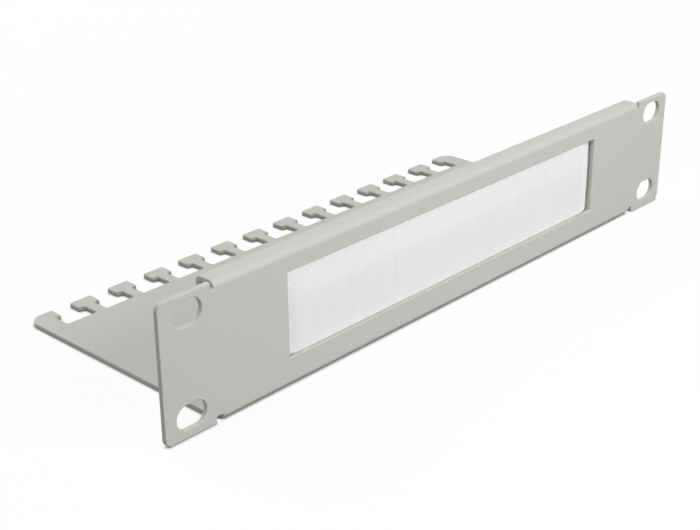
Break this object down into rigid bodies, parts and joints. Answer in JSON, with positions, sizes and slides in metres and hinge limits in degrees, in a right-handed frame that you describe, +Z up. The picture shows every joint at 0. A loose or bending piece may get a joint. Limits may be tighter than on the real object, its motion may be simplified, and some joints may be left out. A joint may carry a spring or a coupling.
{
  "type": "cable management bar",
  "caption": "Brush panel for a ten-inch rack, folded from one sheet with a rear tray that ends in T-shaped cable tie lugs.",
  "frame": {"origin": "centre of the four rack slots, on the rear face of the ears, which meets the rack rails", "axes": "+X along the panel to the right seen from the front, +Y to the rear over the tray, +Z up"},
  "size_m": [0.254, 0.0928, 0.0444],
  "materials": {
    "powder_coat": "light grey powder coat with a fine orange peel",
    "holder_metal": "plain mill finish on thin folded strip",
    "wire_steel": "drawn steel wire",
    "nylon_bristle": "white nylon filaments, close packed"
  },
  "bodies": {
    "root": {"bracket": "powder_coat", "brush_holder": "holder_metal", "core_wire": "wire_steel", "bristles": "nylon_bristle"}
  },
  "joints": []
}
